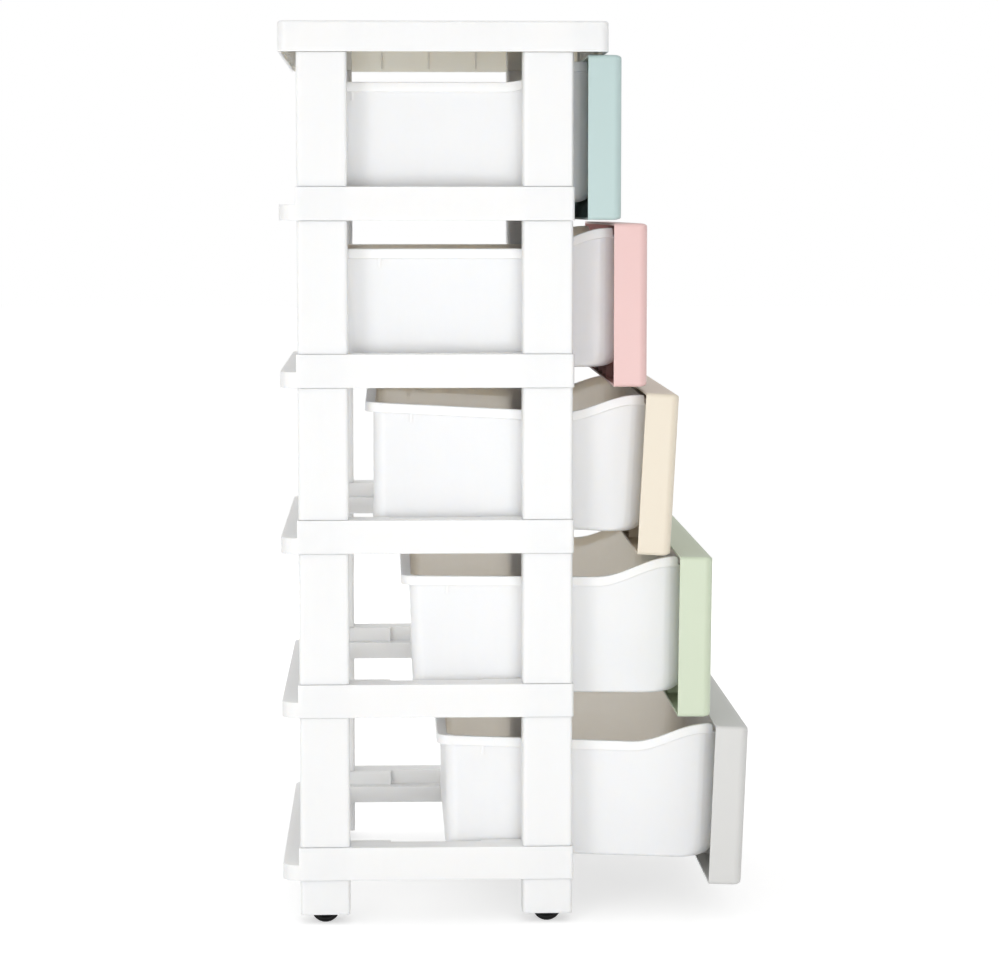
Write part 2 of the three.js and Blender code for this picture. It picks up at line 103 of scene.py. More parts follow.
# %% [markdown]
# An operator works on whatever is selected, and loading the frame leaves its nodes selected. So each step
# starts by deselecting everything, and chooses its own faces or edges by where they lie. That is what a
# mouse does by eye, and it keeps a script readable when a size changes.

# %% Start pieces and choose parts of them
def only(piece):
    """Make one piece the only selected and active one."""
    bpy.ops.object.select_all(action="DESELECT")
    piece.select_set(True)
    bpy.context.view_layer.objects.active = piece


def block(name, low, high):
    """A box between two corners, the start of a piece."""
    bpy.ops.object.select_all(action="DESELECT")
    bpy.ops.mesh.primitive_cube_add(size=1, location=[(a + b) / 2 for a, b in zip(low, high)])
    piece = bpy.context.object
    piece.name = name
    piece.scale = [b - a for a, b in zip(low, high)]
    bpy.ops.object.transform_apply(location=True, rotation=True, scale=True)
    return piece


def sheet(name, low, high, height):
    """A level rectangle, the start of a piece that is drawn in plan."""
    bpy.ops.object.select_all(action="DESELECT")
    centre = ((low[0] + high[0]) / 2, (low[1] + high[1]) / 2, height)
    bpy.ops.mesh.primitive_plane_add(size=1, location=centre)
    piece = bpy.context.object
    piece.name = name
    piece.scale = (high[0] - low[0], high[1] - low[1], 1)
    bpy.ops.object.transform_apply(location=True, rotation=True, scale=True)
    return piece


def edit(piece):
    """Open a piece for editing with nothing chosen."""
    only(piece)
    bpy.ops.object.mode_set(mode="EDIT")
    bpy.ops.mesh.select_all(action="DESELECT")


def close():
    """Leave edit mode with all faces pointing outwards, which a positive volume proves."""
    bpy.ops.mesh.select_all(action="SELECT")
    bpy.ops.mesh.normals_make_consistent(inside=False)
    if bmesh.from_edit_mesh(bpy.context.edit_object.data).calc_volume(signed=True) < 0:
        bpy.ops.mesh.flip_normals()
    bpy.ops.object.mode_set(mode="OBJECT")


def choose(kind, test):
    """Select the vertices, edges or faces that pass a test of their middle and their direction."""
    bpy.ops.mesh.select_mode(type=kind)
    bpy.ops.mesh.select_all(action="DESELECT")
    mesh = bmesh.from_edit_mesh(bpy.context.edit_object.data)
    chosen = 0
    for part in {"VERT": mesh.verts, "EDGE": mesh.edges, "FACE": mesh.faces}[kind]:
        if kind == "VERT":
            middle, direction = part.co, None
        elif kind == "EDGE":
            ends = [vertex.co for vertex in part.verts]
            middle, direction = (ends[0] + ends[1]) / 2, (ends[1] - ends[0]).normalized()
        else:
            middle, direction = part.calc_center_median(), part.normal
        if test(middle, direction):
            part.select_set(True)
            chosen += 1
    mesh.select_flush_mode()
    bmesh.update_edit_mesh(bpy.context.edit_object.data)
    return chosen


def near(a, b, reach=0.05):
    """True where two measures agree."""
    return abs(a - b) < reach


# %% [markdown]
# Moulded parts are hollowed, cut and rounded after their main shape is right. Modifiers do that evenly,
# and applying them leaves a plain mesh. A small bevel rounds every sharp edge, as a mould does, and
# weighted normals keep the broad faces flat in the shading while the small rounds turn smoothly between
# them.

# %% Cut, join and soften pieces
SHARP_ANGLE = math.radians(38)


def modify(piece, kind, **settings):
    """Add one modifier and apply it."""
    only(piece)
    modifier = piece.modifiers.new(kind.title(), kind)
    for name, value in settings.items():
        setattr(modifier, name, value)
    bpy.ops.object.modifier_apply(modifier=modifier.name)


def combine(piece, other, operation):
    """Join another shape to a piece, or cut it away, and remove the other shape."""
    modify(piece, "BOOLEAN", object=other, operation=operation, solver="EXACT")
    bpy.data.objects.remove(other)


def together(shapes):
    """Several separate shapes as one object, to join or cut in one go."""
    bpy.ops.object.select_all(action="DESELECT")
    for shape in shapes:
        shape.select_set(True)
    bpy.context.view_layer.objects.active = shapes[0]
    bpy.ops.object.join()
    return shapes[0]


def soften(piece, radius, segments=2):
    """Round every sharp edge by a small radius."""
    settings = {"limit_method": "ANGLE", "angle_limit": SHARP_ANGLE, "use_clamp_overlap": False}
    modify(piece, "BEVEL", width=radius, segments=segments, **settings)


def shade(piece):
    """Shade a piece smoothly over its small rounds, with its broad faces kept flat."""
    only(piece)
    bpy.ops.object.shade_smooth_by_angle(angle=SHARP_ANGLE)
    modify(piece, "WEIGHTED_NORMAL", keep_sharp=True)


# %% [markdown]
# Some mouldings look different inside: light that comes through a thin wall warms it, and light that
# bounces about in a hollow deepens its colour. That light is painted: such a piece gets two material slots,
# and the faces that look inward take the second, whose colour is painted warm light or painted shade.
# Every finished model is then copied to its places, with a mesh of its own each time.

# %% Paint the insides, copy and place pieces
def add_painted_inside(piece, looks_inward):
    """Give a piece two material slots, and the second one, for painted light, to the faces that pass a test.
    """
    edit(piece)
    for _ in ("outside", "inside"):
        bpy.ops.object.material_slot_add()
    count = choose("FACE", looks_inward)
    piece.active_material_index = 1
    bpy.ops.object.material_slot_assign()
    bpy.ops.object.mode_set(mode="OBJECT")
    return count


def copy_of(piece, name, offset=(0, 0, 0)):
    """A copy with a mesh of its own, moved by an offset."""
    only(piece)
    bpy.ops.object.duplicate(linked=False)
    twin = bpy.context.object
    twin.name = name
    twin.location = offset
    bpy.ops.object.transform_apply(location=True, rotation=False, scale=False)
    return twin


def settle(piece, node, body, slot):
    """Bring a finished piece to metres in the frame's place, and let it stand for its CAD node."""
    only(piece)
    piece.scale = (MM, MM, MM)
    piece.location = (0, shift_y * MM, 0)
    bpy.ops.object.transform_apply(location=True, rotation=True, scale=True)
    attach(piece, body)
    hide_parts(node)
    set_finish(piece, slot)
    low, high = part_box(node)
    corners = [Vector(corner) for corner in piece.bound_box]
    apart = max(
        max(abs(min(corner[axis] for corner in corners) - low[axis]) for axis in range(3)),
        max(abs(max(corner[axis] for corner in corners) - high[axis]) for axis in range(3)),
    )
    faces = len(piece.data.polygons)
    print(f"{piece.name}: {faces} faces, box within {apart / MM:.2f} mm of the CAD node")


# %% [markdown]
# A shelf frame is one moulding: two low rails, a ledge along each side that carries the drawer, a raised
# side wall outside it, and a block at each corner with a socket for the post. It could be cut from a
# solid with many Boolean steps. It is drawn in plan instead and raised level by level, which keeps clean
# faces.

# %% Shelf frame in plan
FRONT_CORNER = 4
LEDGE_INNER = 186
BLOCK_INNER = 199.5
WALL_INNER = 208
LEDGE_FRONT = -92.5
BLOCK_REACH = 48.5
RAIL_FRONT = 110.5
SOCKET_HALF = (16.3, 23.3)

half_width = SHELF_WIDTH / 2
half_depth = SHELF_DEPTH / 2
rear_edge = half_depth + REAR_OVERHANG
shelf = sheet("shelf_model", (-half_width, -half_depth), (half_width, rear_edge), 0)
edit(shelf)
for y, radius in ((-half_depth, FRONT_CORNER), (rear_edge, REAR_OVERHANG)):
    choose("VERT", lambda place, _: near(place.y, y) and near(abs(place.x), half_width))
    bpy.ops.mesh.bevel(offset=radius, segments=6, affect="VERTICES")

socket_x = (POST_X - SOCKET_HALF[0], POST_X + SOCKET_HALF[0])
socket_y = (POST_Y - SOCKET_HALF[1], POST_Y + SOCKET_HALF[1])
lines_x = [LEDGE_INNER, BLOCK_INNER, WALL_INNER, *socket_x]
lines_y = [LEDGE_FRONT, -BLOCK_REACH, BLOCK_REACH, RAIL_FRONT, half_depth, *socket_y, *(-y for y in socket_y)]
cuts = [((x, 0, 0), (1, 0, 0)) for line in lines_x for x in (-line, line)]
cuts += [((0, y, 0), (0, 1, 0)) for y in lines_y]
for place, normal in cuts:
    bpy.ops.mesh.select_all(action="SELECT")
    bpy.ops.mesh.bisect(plane_co=place, plane_no=normal)


def between(value, span):
    """True where a measure lies in a span."""
    return span[0] < value < span[1]


def is_hole(place, _=None):
    """The open middle, or one of the four sockets."""
    middle = abs(place.x) < LEDGE_INNER and LEDGE_FRONT < place.y < RAIL_FRONT
    return middle or (between(abs(place.x), socket_x) and between(abs(place.y), socket_y))


holes = choose("FACE", is_hole)
bpy.ops.mesh.delete(type="FACE")
print("shelf frame plan with", holes, "faces opened")


# %% [markdown]
# Now the plan rises in four steps: first all of it to the height of the front rail, then all but that
# rail to the height of the rear rail, then the ledges, and last the side walls and corner blocks. Each
# step extrudes the faces that still stand on top, so no walls are left inside.

# %% Raise the shelf frame
FRONT_RAIL = 15.8
REAR_RAIL = 17
LEDGE = 19
SHELF_EDGE = 0.5


def is_block(place):
    """A corner block or a side wall."""
    corner = abs(place.x) > BLOCK_INNER and abs(place.y) > BLOCK_REACH
    return place.y < half_depth and (corner or abs(place.x) > WALL_INNER)


def is_ledge(place):
    """A ledge under the drawer's side, or anything higher."""
    ledge = abs(place.x) > LEDGE_INNER and LEDGE_FRONT < place.y < RAIL_FRONT
    return ledge or is_block(place)


def is_rear(place):
    """The rear rail, or anything higher."""
    return place.y > RAIL_FRONT or is_ledge(place)


def is_level(way):
    """True for a face that looks straight up or down."""
    return abs(way.z) > 0.9


below = 0
levels = [(FRONT_RAIL, lambda place: True), (REAR_RAIL, is_rear), (LEDGE, is_ledge), (SHELF_HEIGHT, is_block)]
for height, stands in levels:
    raised = choose("FACE", lambda place, way: near(place.z, below) and is_level(way) and stands(place))
    bpy.ops.mesh.extrude_region_move(TRANSFORM_OT_translate={"value": (0, 0, height - below)})
    print("raised", raised, "faces to", height, "mm")
    below = height
close()
soften(shelf, SHELF_EDGE)
shade(shelf)

for tier, height in enumerate(shelf_heights, 1):
    settle(copy_of(shelf, f"shelf_{tier}", (0, 0, height)), f"shelf_frame_{tier}", "carcass", "frame_white")
bpy.data.objects.remove(shelf)

# %% [markdown]
# The posts are tubes of a rounded rectangle. Each end steps in to a spigot that plugs into a socket of
# the shelf frame above or below. Insetting and extruding the two ends makes the spigots, and bridging the
# last two insets opens the bore from end to end.

# %% Post
SEAT_GAP = 0.3
POST_CORNER = 4
POST_SHOULDER = 3.5
POST_WALL = 2.2
SPIGOT = 10
POST_EDGE = 0.4

post_low = SEAT_GAP
post_high = TIER_PITCH - SHELF_HEIGHT - SEAT_GAP


def upright(name, low, high):
    """A rounded post standing between two heights, in the middle of the plan."""
    corner = (POST_WIDTH / 2, POST_DEPTH / 2)
    piece = block(name, (-corner[0], -corner[1], low), (corner[0], corner[1], high))
    edit(piece)
    choose("EDGE", lambda place, along: abs(along.z) > 0.9)
    bpy.ops.mesh.bevel(offset=POST_CORNER, segments=5, affect="EDGES")
    return piece


def push_end(height, inset, distance):
    """Step an end face in, and extrude what is left of it up or down."""
    choose("FACE", lambda place, way: near(place.z, height) and is_level(way))
    bpy.ops.mesh.inset(thickness=inset, depth=0)
    bpy.ops.mesh.extrude_region_move(TRANSFORM_OT_translate={"value": (0, 0, distance)})


post = upright("post_model", post_low, post_high)
push_end(post_low, POST_SHOULDER, -SPIGOT)
push_end(post_high, POST_SHOULDER, SPIGOT)
ends = (post_low - SPIGOT, post_high + SPIGOT)
choose("FACE", lambda place, way: is_level(way) and (near(place.z, ends[0]) or near(place.z, ends[1])))
bpy.ops.mesh.inset(thickness=POST_WALL, depth=0)
bpy.ops.mesh.bridge_edge_loops()
close()
soften(post, POST_EDGE)
print("post of", len(post.data.polygons), "faces")

# %% [markdown]
# Four posts carry each tier. A front post also has a thin upright rib on its inner side, which stops the
# drawer from coming out, so the left and the right front posts are mirror images and the rib is joined to
# each.

# %% Stop ribs and the twenty posts
STOP_REACH = 3
STOP_SPAN_Y = (-102.5, -96.5)
STOP_SPAN_Z = (24, 99)
STOP_EDGE = 0.6

for side_name, side in SIDES.items():
    for end_name, end in ENDS.items():
        whole = copy_of(post, "post_" + side_name, (side * POST_X, end * POST_Y, 0))
        if end_name == "front":
            face = side * (POST_X - POST_WIDTH / 2)
            tip, root = face - side * STOP_REACH, face + side
            low = (min(tip, root), STOP_SPAN_Y[0], STOP_SPAN_Z[0])
            stop = block("stop_rib", low, (max(tip, root), STOP_SPAN_Y[1], STOP_SPAN_Z[1]))
            soften(stop, STOP_EDGE)
            combine(whole, stop, "UNION")
        shade(whole)
        for tier, height in enumerate(shelf_heights, 1):
            node = f"post_{tier}_{end_name}_{side_name}"
            standing = copy_of(whole, "dressed_" + node, (0, 0, height + SHELF_HEIGHT))
            settle(standing, node, "carcass", "frame_white")
        bpy.data.objects.remove(whole)
bpy.data.objects.remove(post)

# %% [markdown]
# The lid is a shallow tray upside down, whose skirt hangs over the top drawer. A solid slab gets its
# round corners and its rounded upper edge first. Then its underside is pushed in, which leaves an even
# wall.

# %% Lid tray
LID_LOW = (-242, -182.5)
LID_HIGH = (242, 164.5)
LID_HEIGHT = 32
LID_CORNER = 10
LID_EDGE = 3
LID_WALL = 3

lid = block("lid", (*LID_LOW, 0), (*LID_HIGH, LID_HEIGHT))
edit(lid)
choose("EDGE", lambda place, along: abs(along.z) > 0.9)
bpy.ops.mesh.bevel(offset=LID_CORNER, segments=8, affect="EDGES")
choose("EDGE", lambda place, along: near(place.z, LID_HEIGHT))
bpy.ops.mesh.bevel(offset=LID_EDGE, segments=4, affect="EDGES")
choose("FACE", lambda place, way: near(place.z, 0) and is_level(way))
bpy.ops.mesh.inset(thickness=LID_WALL, depth=0)
bpy.ops.mesh.extrude_region_move(TRANSFORM_OT_translate={"value": (0, 0, LID_HEIGHT - LID_WALL)})
close()
print("lid tray", LID_HEIGHT, "mm high with a wall of", LID_WALL, "mm")

# %% [markdown]
# Short ribs stiffen the skirt inside, where they show from below, and a block in each corner takes the
# spigot of a post. Each is a plain block that reaches half a wall into the tray, so the union has no thin
# slivers.

# %% Lid ribs and sockets
RIB_PITCH = 56.5
RIB_HALF = 1
RIB_REACH = 5
RIB_BASE = 3
SOCKET_DEPTH = 12
LID_SOFTNESS = 0.5

roof = LID_HEIGHT - LID_WALL / 2
extras = []
for rib in range(-1, 2):
    y = rib * RIB_PITCH
    for side in (-1, 1):
        ends = sorted((side * (LID_HIGH[0] - LID_WALL / 2), side * (LID_HIGH[0] - LID_WALL - RIB_REACH)))
        extras.append(block("rib", (ends[0], y - RIB_HALF, RIB_BASE), (ends[1], y + RIB_HALF, roof)))
for rib in range(-3, 4):
    x = rib * RIB_PITCH
    for wall, inward in ((LID_LOW[1], 1), (LID_HIGH[1], -1)):
        ends = sorted((wall + inward * LID_WALL / 2, wall + inward * (LID_WALL + RIB_REACH)))
        extras.append(block("rib", (x - RIB_HALF, ends[0], RIB_BASE), (x + RIB_HALF, ends[1], roof)))
for side in (-1, 1):
    for end in (-1, 1):
        across = sorted((side * (POST_X - POST_WIDTH / 2), side * (LID_HIGH[0] - LID_WALL / 2)))
        along = end * POST_Y - POST_DEPTH / 2
        extras.append(block("socket_block", (across[0], along, 0), (across[1], along + POST_DEPTH, roof)))
combine(lid, together(extras), "UNION")
cutters = []
for side in (-1, 1):
    for end in (-1, 1):
        low = (side * POST_X - SOCKET_HALF[0], end * POST_Y - SOCKET_HALF[1], -1)
        high = (low[0] + 2 * SOCKET_HALF[0], low[1] + 2 * SOCKET_HALF[1], SOCKET_DEPTH)
        cutters.append(block("socket", low, high))
combine(lid, together(cutters), "DIFFERENCE")
soften(lid, LID_SOFTNESS)
shade(lid)
print("lid with", len(lid.data.polygons), "faces")

# %% [markdown]
# From below, the lid shows warm light that has come through it, and that light is painted on its inner faces.
# A face takes the painted light when its middle lies within the skirt's inner walls and under the roof.

# %% Paint warm light inside the lid and place it
SKIN = 0.1


def is_under(place, _):
    """True on the faces inside the lid's skirt."""
    middle = (LID_LOW[1] + LID_HIGH[1]) / 2
    reach = (LID_HIGH[1] - LID_LOW[1]) / 2 - LID_WALL + SKIN
    return abs(place.x) < LID_HIGH[0] - LID_WALL + SKIN and abs(place.y - middle) < reach and place.z < roof


# The faces inside the skirt take the painted warm light.
print("lid lining of", add_painted_inside(lid, is_under), "faces")
cover_height = LOWEST_SHELF + TIER_PITCH * TIER_COUNT
settle(copy_of(lid, "lid_dressed", (0, 0, cover_height)), "top_cover", "carcass", "frame_white")
bpy.data.objects.remove(lid)

# %% [markdown]
# Under each corner a short foot carries a roller. The foot is open below, and the roller peeps out of it.
# A pin between both walls is the axle. The foot is a post cut short and hollowed from below.

# %% Feet
FOOT_CLEARANCE = 10
FOOT_HEIGHT = 37.2
FOOT_WALL = 4
FOOT_ROOF = 4
FOOT_EDGE = 0.4

foot = upright("foot_model", 0, FOOT_HEIGHT)
push_end(FOOT_HEIGHT, POST_SHOULDER, SPIGOT)
push_end(0, FOOT_WALL, FOOT_HEIGHT - FOOT_ROOF)
close()
soften(foot, FOOT_EDGE)
shade(foot)
print("foot", FOOT_HEIGHT, "mm high, open below")

# %% [markdown]
# The roller starts as a disc. Its rim is rounded, its cheeks are sunk between rim and hub, and a bore for
# the pin is bridged through it.

# %% Rollers
WHEEL_RADIUS = 15.5
WHEEL_WIDTH = 22
WHEEL_ROUND = 2.5
HUB_RADIUS = 6
HUB_WIDTH = 30
CHEEK_RIM = 2.6
CHEEK_DEPTH = 1.6
CHEEK_SLOPE = 0.8
HUB_SLOPE = 0.01
BORE_RADIUS = 2.58
ROLLER_EDGE = 0.35

bpy.ops.object.select_all(action="DESELECT")
along_x = (0, math.pi / 2, 0)
bpy.ops.mesh.primitive_cylinder_add(vertices=64, radius=WHEEL_RADIUS, depth=WHEEL_WIDTH, rotation=along_x)
roller = bpy.context.object
roller.name = "roller_model"
bpy.ops.object.transform_apply(location=True, rotation=True, scale=True)


def is_cheek(place, normal):
    """An end face of the roller's disc, seen along its pin."""
    return abs(normal.x) > 0.9 and math.hypot(place.y, place.z) < 1


edit(roller)
choose("EDGE", lambda place, along: near(abs(place.x), WHEEL_WIDTH / 2))
bpy.ops.mesh.bevel(offset=WHEEL_ROUND, segments=4, affect="EDGES")
choose("FACE", is_cheek)
bpy.ops.mesh.inset(thickness=CHEEK_RIM, depth=0)
bpy.ops.mesh.inset(thickness=CHEEK_SLOPE, depth=-CHEEK_DEPTH)
cheek = WHEEL_RADIUS - WHEEL_ROUND - CHEEK_RIM - CHEEK_SLOPE - HUB_RADIUS
bpy.ops.mesh.inset(thickness=cheek, depth=0)
bpy.ops.mesh.inset(thickness=HUB_SLOPE, depth=(HUB_WIDTH - WHEEL_WIDTH) / 2 + CHEEK_DEPTH)
bpy.ops.mesh.inset(thickness=HUB_RADIUS - BORE_RADIUS, depth=0)
bpy.ops.mesh.bridge_edge_loops()
close()
soften(roller, ROLLER_EDGE)
shade(roller)

for side_name, side in SIDES.items():
    for end_name, end in ENDS.items():
        corner = f"{end_name}_{side_name}"
        place = (side * POST_X, end * POST_Y)
        standing = copy_of(foot, "dressed_foot_" + corner, (*place, FOOT_CLEARANCE))
        settle(standing, "foot_" + corner, "carcass", "frame_white")
        wheel = copy_of(roller, "dressed_wheel_" + corner, (*place, WHEEL_RADIUS))
        settle(wheel, "wheel_" + corner, "roller_" + corner, "roller_black")
bpy.data.objects.remove(foot)
bpy.data.objects.remove(roller)

# %% [markdown]
# The tub is the white bin behind each coloured front. Its sides lean out a little so that it leaves the
# mould, its nose has a broad round below, and its rim rises in a soft S to the front. A level rectangle
# with round corners is extruded up ring by ring, and each ring is moved a little: that is how the rounds
# are made.

# %% Tub sizes
TUB_NOSE_Y = -160.5
TUB_REAR_Y = 149.5
TUB_BASE = 19.3
TUB_WALL = 2.2
TUB_FLOOR = 2.5
WALL_X = 195.6
SIDE_DRAFT = 1.2
REAR_DRAFT = 5
NOSE_ROUND = 22
EDGE_ROUND = 4
NOSE_CORNER = 28
REAR_CORNER = 14
RIM_TOP = 146.2
RIM_HEIGHT = 10.5
RIM_OVERHANG = 3
RIM_FLANGE = 9
RISE = 21.8
RISE_FRONT = -141.5
RISE_REAR = -62.5

wall_rear = TUB_REAR_Y - RIM_FLANGE
rim_base = RIM_TOP - RIM_HEIGHT


def set_back(height, radius):
    """How far a quarter round draws a wall in at a height above its foot."""
    return radius - math.sqrt(radius**2 - max(radius - height, 0) ** 2)


def rise_at(y):
    """How much higher the rim stands at a place along the tub."""
    share = min(max((y - RISE_FRONT) / (RISE_REAR - RISE_FRONT), 0), 1)
    return RISE * (1 - share * share * (3 - 2 * share))


# %% [markdown]
# The ring that is being moved is always the last one made, and it stays selected after an extrude. Its
# front, rear and sides go by different amounts, so the ring is described by four measures: half its
# width, where its front and rear lie, and its height. A small function moves the selected ring from one
# set to the next.

# %% Rings of the tub
def ring_at(half, front, rear, height):
    """The four measures of a ring."""
    return {"half": half, "front": front, "rear": rear, "height": height}


def move_ring(old, new):
    """Move the selected ring, whose vertices lie as the old measures say, to the new ones."""
    mesh = bmesh.from_edit_mesh(bpy.context.edit_object.data)
    ring = [vertex for vertex in mesh.verts if vertex.select]
    for low, high, shift in (
        (-1000, 0, (0, new["front"] - old["front"], 0)),
        (0, 1000, (0, new["rear"] - old["rear"], 0)),
    ):
        for vertex in ring:
            vertex.select_set(low < vertex.co.y <= high)
        bmesh.update_edit_mesh(bpy.context.edit_object.data)
        bpy.ops.transform.translate(value=shift)
    for vertex in ring:
        vertex.select_set(True)
    mesh.select_flush(True)
    bmesh.update_edit_mesh(bpy.context.edit_object.data)
    bpy.ops.transform.resize(value=(new["half"] / old["half"], 1, 1), center_override=(0, 0, 0))
    bpy.ops.transform.translate(value=(0, 0, new["height"] - old["height"]))


def next_ring(old, new):
    """Extrude the selected ring and move it to its new measures."""
    bpy.ops.mesh.extrude_region_move(TRANSFORM_OT_translate={"value": (0, 0, 0)})
    move_ring(old, new)
    return new


def bottom_ring(height, wall):
    """The outer skin of the tub, or its inner one a wall further in, at a height above its own floor."""
    side = set_back(height, EDGE_ROUND - min(wall, 1)) + wall
    nose = set_back(height, NOSE_ROUND - wall) + wall
    base = TUB_BASE + (TUB_FLOOR if wall else 0)
    rear = wall_rear - REAR_DRAFT - side
    return ring_at(WALL_X - SIDE_DRAFT - side, TUB_NOSE_Y + nose, rear, base + height)


heights = [0, 0.35, 1.2, 2.5, 4, 6.5, 10, 14.5, 22]
outer = ring_at(WALL_X, TUB_NOSE_Y, wall_rear, rim_base)
tub = sheet("tub_model", (-WALL_X, TUB_NOSE_Y), (WALL_X, wall_rear), rim_base)
edit(tub)
for y, radius in ((TUB_NOSE_Y, NOSE_CORNER), (wall_rear, REAR_CORNER)):
    choose("VERT", lambda place, _: near(place.y, y) and near(abs(place.x), WALL_X))
    bpy.ops.mesh.bevel(offset=radius, segments=10, affect="VERTICES")
bpy.ops.mesh.select_all(action="SELECT")
ring = bottom_ring(0, 0)
move_ring(outer, ring)
bpy.ops.mesh.select_mode(type="EDGE")
bpy.ops.mesh.select_all(action="SELECT")
bpy.ops.mesh.region_to_loop()
for height in heights[1:]:
    ring = next_ring(ring, bottom_ring(height, 0))
ring = next_ring(ring, outer)
print("tub walls with", len(heights), "rings below the rim")

# %% [markdown]
# The rim turns out from the top of the wall, up, and back in over it, and the inner skin goes down to the
# floor. The rings are the same vertices all the way, so the rim and both skins follow the same round
# corners.

# %% Rim and inner skin
rim = ring_at(WALL_X + RIM_OVERHANG, TUB_NOSE_Y - RIM_OVERHANG, TUB_REAR_Y, rim_base)
ring = next_ring(ring, rim)
ring = next_ring(ring, {**rim, "height": RIM_TOP})
inner_top = ring_at(WALL_X - TUB_WALL, TUB_NOSE_Y + TUB_WALL, wall_rear - TUB_WALL, RIM_TOP)
ring = next_ring(ring, inner_top)
for height in reversed(heights):
    ring = next_ring(ring, bottom_ring(height, TUB_WALL))
bpy.ops.mesh.edge_face_add()
print("inner skin closed")

# %% [markdown]
# The rim rises near the front, so the long sides need more cross lines there. Bisecting the tub at even
# places adds them, and then each line of the rim and of the wall's top is lifted by its share of the S.

# %% Lift the rim
RISE_CUTS = 12
step = (RISE_REAR - RISE_FRONT) / RISE_CUTS
for cut in range(RISE_CUTS + 1):
    bpy.ops.mesh.select_all(action="SELECT")
    bpy.ops.mesh.bisect(plane_co=(0, RISE_FRONT + cut * step, 0), plane_no=(0, 1, 0))
mesh = bmesh.from_edit_mesh(bpy.context.edit_object.data)
raised = [vertex.co.y for vertex in mesh.verts if vertex.co.z > rim_base - 1 and vertex.co.y < RISE_REAR]
places = sorted({round(y, 2) for y in raised})
for y in places:
    choose("VERT", lambda place, _: near(place.y, y, 0.006) and place.z > rim_base - 1)
    bpy.ops.transform.translate(value=(0, 0, rise_at(y)))
close()
print("rim lifted at", len(places), "places along its length")

# %% [markdown]
# The rim doesn't run on across the nose, where the coloured front stands: it stops on each side, just
# behind it. A block cuts the rim's front away, and the edges where it stops are rounded off. Then all
# sharp edges of the tub are softened together, so the new ones look like the rest.

# %% Stop the rim behind the front
GAP_Y = -149.8
GAP_DROP = 8.5
GAP_ROUND = 5
GAP_MARGIN = 20
TUB_EDGE = 0.9

rim_peak = RIM_TOP + RISE
gap_low = (-WALL_X - GAP_MARGIN, TUB_NOSE_Y - GAP_MARGIN, rim_peak - GAP_DROP)
gap_high = (WALL_X + GAP_MARGIN, GAP_Y, rim_peak + GAP_MARGIN)
combine(tub, block("gap", gap_low, gap_high), "DIFFERENCE")


def is_rim_end(place, way):
    """An edge across the top of the rim, where the cut has stopped it."""
    return near(place.y, GAP_Y) and near(place.z, rim_peak, 0.1) and abs(way.x) > 0.9


edit(tub)
ends = choose("EDGE", is_rim_end)
bpy.ops.mesh.bevel(offset=GAP_ROUND, segments=4)
bpy.ops.object.mode_set(mode="OBJECT")
soften(tub, TUB_EDGE)
print("rim stops at", ends, "rounded edges behind the front")

# %% [markdown]
# A pad thickens each side of the rim near its rear end, where it slides past the posts, and a thin tab
# hangs below the rim to meet the stop rib of the front post. Both are small softened blocks joined to the
# tub.
#
# The joins leave two slivers back to back on the same corners, at a rounded end of the rim. They enclose
# nothing, but an exporter that drops one of them can spoil the mesh and its copies, so both are deleted.

# %% Pads and tabs
PAD_SPAN = (88.5, 132.5)
PAD_PROUD = 0.5
TAB_SPAN = (98.5, 101.5)
TAB_DROP = 9.5
EXTRA_EDGE = 0.4

rim_x = WALL_X + RIM_OVERHANG


def drop_twins(piece):
    """Delete the faces that lie back to back on the same corners, and count them."""
    edit(piece)
    mesh = bmesh.from_edit_mesh(bpy.context.edit_object.data)
    by_corners = {}
    for face in mesh.faces:
        by_corners.setdefault(frozenset(face.verts), []).append(face)
    twins = [face for faces in by_corners.values() if len(faces) > 1 for face in faces]
    bmesh.ops.delete(mesh, geom=twins, context="FACES")
    bmesh.update_edit_mesh(bpy.context.edit_object.data)
    bpy.ops.object.mode_set(mode="OBJECT")
    return len(twins)


for side in (-1, 1):
    pad = sorted((side * (rim_x - 1), side * (rim_x + PAD_PROUD)))
    tab = sorted((side * (WALL_X - TUB_WALL / 2), side * (rim_x - PAD_PROUD)))
    pad_block = block("pad", (pad[0], PAD_SPAN[0], rim_base + 0.4), (pad[1], PAD_SPAN[1], RIM_TOP - 0.4))
    tab_block = block("tab", (tab[0], TAB_SPAN[0], rim_base - TAB_DROP), (tab[1], TAB_SPAN[1], rim_base + 1))
    for extra in (pad_block, tab_block):
        soften(extra, EXTRA_EDGE)
        combine(tub, extra, "UNION")
print("tub rid of", drop_twins(tub), "twin slivers")
shade(tub)
print("tub with", len(tub.data.polygons), "faces")

# %% [markdown]
# Inside, the tub looks warmer than outside, because the light there has come through its thin walls. That
# warm light is painted on the faces that look inward. A face looks inward when its direction points against
# its own place, seen from the middle of the tub, and the floor is told apart by its height.

# %% Paint warm light inside the tub
LOOKS_IN = -20
FLOOR_REACH = 10


def looks_into_tub(place, way):
    """True on the faces that look into the tub."""
    outward = place.x * way.x + (place.y - (TUB_NOSE_Y + wall_rear) / 2) * way.y
    return outward < LOOKS_IN or (way.z > 0.9 and place.z < TUB_BASE + FLOOR_REACH)


# The faces that look into the tub take the painted warm light.
print("tub lining of", add_painted_inside(tub, looks_into_tub), "faces")

# %% [markdown]
# Five copies hang in the tower as the photo shows them: each pulled out further than the one above it,
# and three of them drooping. A drawer droops about the line where it rests: the front end of its ledges,
# or for the cream one a line further forward, which lifts it clear of the front rail.

# %% Five tubs
DRAWERS = [
    {"colour": "mint", "opening": 13.3, "droop": 0, "tip": LEDGE_FRONT},
    {"colour": "pink", "opening": 41.1, "droop": 0, "tip": LEDGE_FRONT},
    {"colour": "cream", "opening": 68, "droop": 3, "tip": -163},
    {"colour": "green", "opening": 111.1, "droop": 0.6, "tip": LEDGE_FRONT},
    {"colour": "grey", "opening": 146.1, "droop": 2.3, "tip": LEDGE_FRONT},
]


